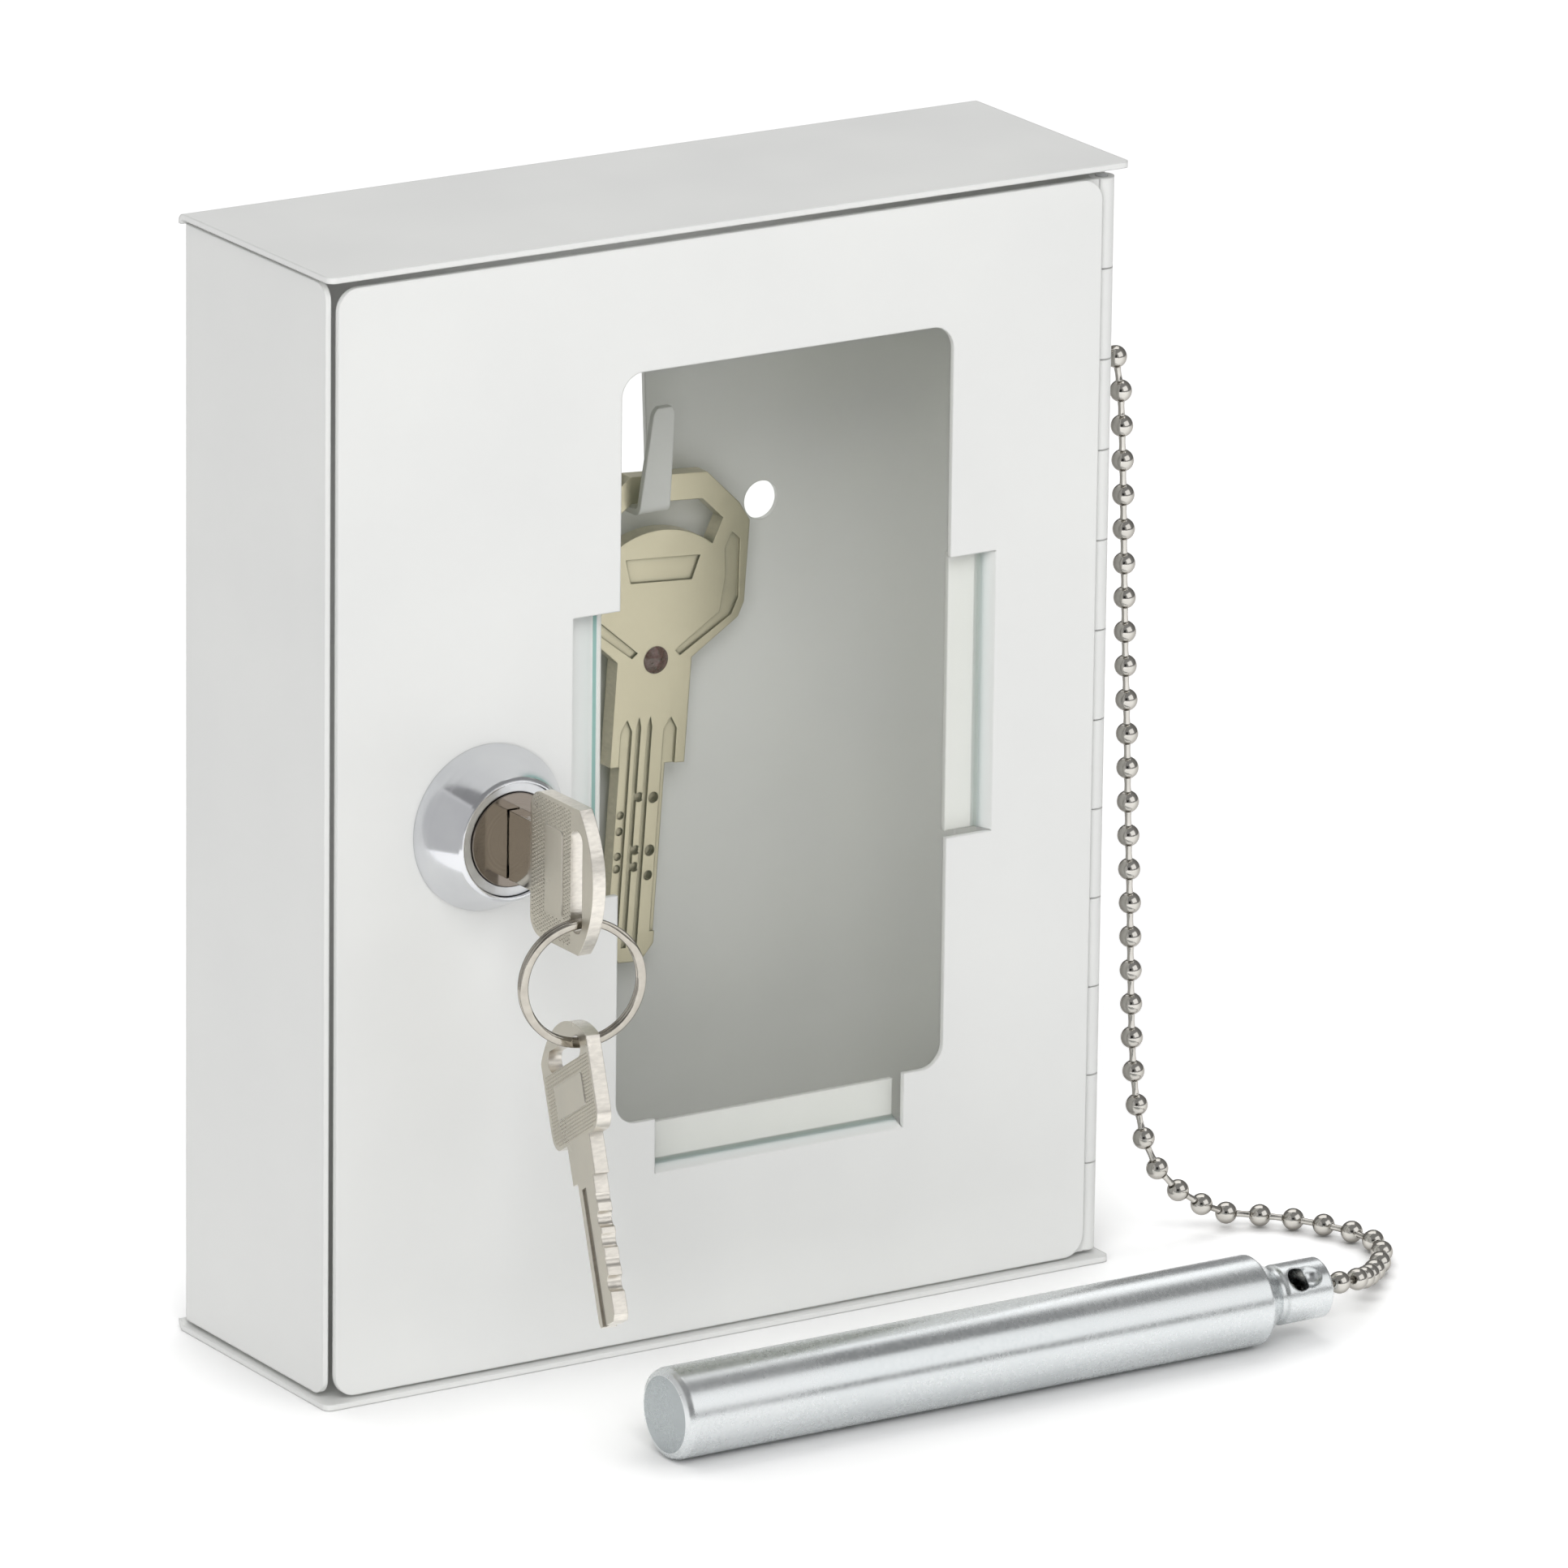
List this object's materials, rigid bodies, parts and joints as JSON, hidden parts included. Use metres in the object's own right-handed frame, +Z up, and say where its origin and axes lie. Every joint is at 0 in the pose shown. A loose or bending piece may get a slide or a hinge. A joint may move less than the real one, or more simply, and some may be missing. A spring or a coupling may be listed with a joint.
{
  "type": "break glass key box",
  "caption": "Small white steel wall box with a hinged glass-fronted door, a cam lock with keys on a ring, a stored key on a hook, and a steel striker on a ball chain.",
  "frame": {"origin": "middle of the case's footprint, on the underside of the bottom plate", "axes": "+X to the viewer's right, +Y into the box towards the wall, +Z up; the door faces -Y"},
  "size_m": [0.1538, 0.081, 0.15],
  "materials": {
    "white_coat": "white powder coat, half gloss",
    "zinc_steel": "zinc plated, half bright",
    "bright_chrome": "polished chrome plate",
    "nickel": "nickel plate",
    "nickel_silver": "nickel silver, ground",
    "wafer_brass": "stamped brass",
    "maroon": "dark red, glossy",
    "pane": "clear float glass with cut edges"
  },
  "bodies": {
    "case": {"case_shell": "white_coat", "lock_keeper": "white_coat", "case_hinge_leaf": "white_coat", "hinge_pin": "zinc_steel", "chain_anchor": "nickel", "hanging_chain": "nickel", "chain_swivel": "nickel"},
    "door": {"door_panel": "white_coat", "door_hinge_leaf": "white_coat", "lock_bezel": "bright_chrome", "lock_barrel": "zinc_steel", "lock_washer": "zinc_steel", "lock_nut": "zinc_steel"},
    "pane": {"glass_pane": "pane"},
    "plug": {"lock_plug": "bright_chrome", "lock_wafers": "wafer_brass", "lock_cam": "zinc_steel", "cam_washer": "zinc_steel", "cam_screw": "zinc_steel"},
    "lock_key": {"lock_key": "nickel"},
    "ring": {"split_ring": "nickel"},
    "spare_key": {"spare_key": "nickel"},
    "stored_key": {"stored_key": "nickel_silver", "stored_key_rivet": "maroon"},
    "tether": {"floor_chain": "nickel"},
    "chain_end": {"chain_tail": "nickel"},
    "striker": {"striker": "zinc_steel"}
  },
  "joints": [
    {"name": "door_swing", "type": "hinge", "parent": "case", "child": "door", "pos_m": [0.0576, -0.0157, 0.075], "axis": [0, 0, 1], "range_deg": [0, 100]},
    {"name": "pane_slide", "type": "slide", "parent": "door", "child": "pane", "axis": [0, 0, 1], "range_m": [0, 0.01]},
    {"name": "plug_turn", "type": "hinge", "parent": "door", "child": "plug", "pos_m": [-0.0359, -0.018, 0.0745], "axis": [0, 1, 0], "range_deg": [0, 90]},
    {"name": "key_pull", "type": "slide", "parent": "plug", "child": "lock_key", "axis": [0, -1, 0], "range_m": [0, 0.017]},
    {"name": "ring_swing", "type": "hinge", "parent": "lock_key", "child": "ring", "pos_m": [-0.0359, -0.0414, 0.0653], "axis": [0.2079, 0.9781, 0], "range_deg": [-90, 0]},
    {"name": "spare_key_swing", "type": "hinge", "parent": "ring", "child": "spare_key", "pos_m": [-0.0359, -0.0414, 0.05214], "axis": [0.9781, -0.2079, 0], "range_deg": [-15, 25]},
    {"name": "stored_key_swing", "type": "hinge", "parent": "case", "child": "stored_key", "pos_m": [0.0075, 0.01535, 0.1034], "axis": [0, 1, 0], "range_deg": [-13, 5]},
    {"name": "tether_turn", "type": "hinge", "parent": "case", "child": "tether", "pos_m": [0.081, -0.01518, 0.0021], "axis": [0, 0, 1], "range_deg": [0, 120]},
    {"name": "striker_lift", "type": "hinge", "parent": "tether", "child": "chain_end", "pos_m": [0.0714, -0.05598, 0.006], "axis": [0, 1, 0], "range_deg": [0, 60]},
    {"name": "striker_spin", "type": "hinge", "parent": "chain_end", "child": "striker", "pos_m": [0.0632, -0.05598, 0.006], "axis": [1, 0, 0], "continuous": true}
  ],
  "couplings": [
    {"joint": "ring_swing", "follows": "plug_turn", "ratio": -1},
    {"joint": "tether_turn", "follows": "door_swing", "ratio": 1.2}
  ]
}
